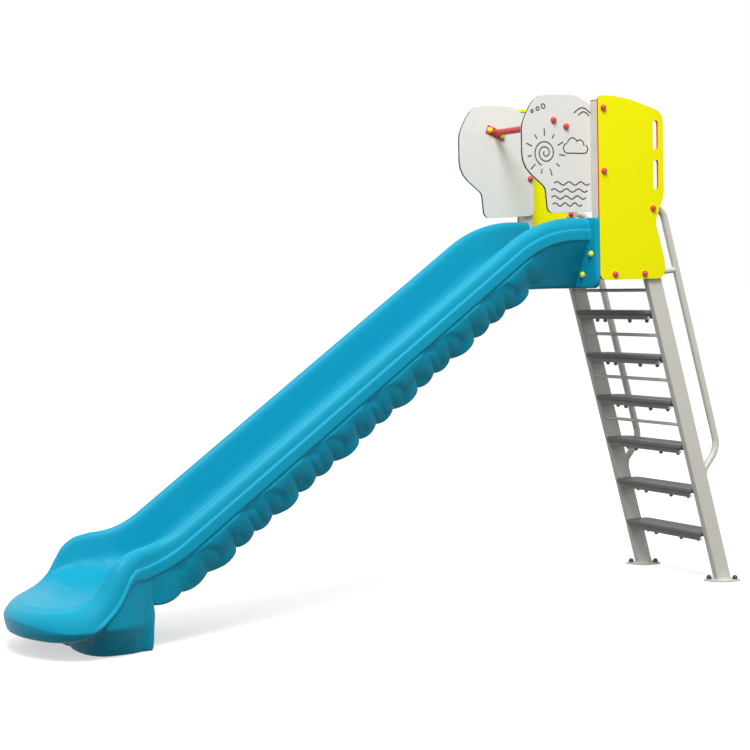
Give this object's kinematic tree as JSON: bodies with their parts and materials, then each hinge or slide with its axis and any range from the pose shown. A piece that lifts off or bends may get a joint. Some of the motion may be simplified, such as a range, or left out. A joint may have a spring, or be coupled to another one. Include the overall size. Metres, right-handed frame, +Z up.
{
  "type": "playground slide",
  "caption": "Free-standing playground slide: moulded U-channel chute with scalloped skirt, steel ladder tower with treads and handrails, side panels and a safety bar.",
  "frame": {"origin": "on the ground, at the centre of the footprint's bounding box", "axes": "+Z up, +X from the chute's exit towards the ladder, +Y across the slide"},
  "size_m": [3.5117, 0.774, 2.3164],
  "materials": {
    "blue_plastic": "rotomoulded polyethylene with a soft sheen",
    "grey_steel": "light warm grey powder coat",
    "tread_board": "dark grey fine grained board",
    "black_plastic": "moulded black caps and plugs",
    "yellow_board": "fine grained two colour sheet, yellow faces on a red core",
    "white_board": "fine grained sheet, white faces on a dark core",
    "red_steel": "red powder coat",
    "red_cap": "moulded red bolt caps",
    "yellow_cap": "moulded yellow bolt caps"
  },
  "bodies": {
    "root": {"anchor_nut_far_front": "black_plastic", "anchor_nut_far_rear": "black_plastic", "anchor_nut_near_front": "black_plastic", "anchor_nut_near_rear": "black_plastic", "bar_bolt_far_front": "red_cap", "bar_bolt_far_rear": "red_cap", "bar_bolt_near_front": "red_cap", "bar_bolt_near_rear": "red_cap", "base_plate_far": "grey_steel", "base_plate_near": "grey_steel", "bearer_front": "grey_steel", "bearer_middle": "grey_steel", "bearer_rear": "grey_steel", "chute": "blue_plastic", "chute_bolt_far_high": "yellow_cap", "chute_bolt_far_low": "yellow_cap", "chute_bolt_near_high": "yellow_cap", "chute_bolt_near_low": "yellow_cap", "cross_rod_1": "grey_steel", "cross_rod_2": "grey_steel", "cross_rod_3": "grey_steel", "cross_rod_4": "grey_steel", "entry_panel_far": "white_board", "entry_panel_near": "white_board", "handrail_bolt_far": "red_cap", "handrail_bolt_near": "red_cap", "handrail_far": "grey_steel", "handrail_near": "grey_steel", "platform_deck": "tread_board", "post_bolt_far_high": "red_cap", "post_bolt_far_low": "red_cap", "post_bolt_near_high": "red_cap", "post_bolt_near_low": "red_cap", "post_cap_far": "black_plastic", "post_cap_near": "black_plastic", "post_far": "grey_steel", "post_near": "grey_steel", "rail_bolt_far_front": "red_cap", "rail_bolt_far_rear": "red_cap", "rail_bolt_near_front": "red_cap", "rail_bolt_near_rear": "red_cap", "safety_bar": "red_steel", "side_panel_far": "yellow_board", "side_panel_near": "yellow_board", "side_rail_far": "grey_steel", "side_rail_near": "grey_steel", "stringer_far": "grey_steel", "stringer_near": "grey_steel", "tread_1": "tread_board", "tread_2": "tread_board", "tread_3": "tread_board", "tread_4": "tread_board", "tread_5": "tread_board", "tread_6": "tread_board", "tread_tray_1": "grey_steel", "tread_tray_2": "grey_steel", "tread_tray_3": "grey_steel", "tread_tray_4": "grey_steel", "tread_tray_5": "grey_steel", "tread_tray_6": "grey_steel"}
  },
  "joints": []
}
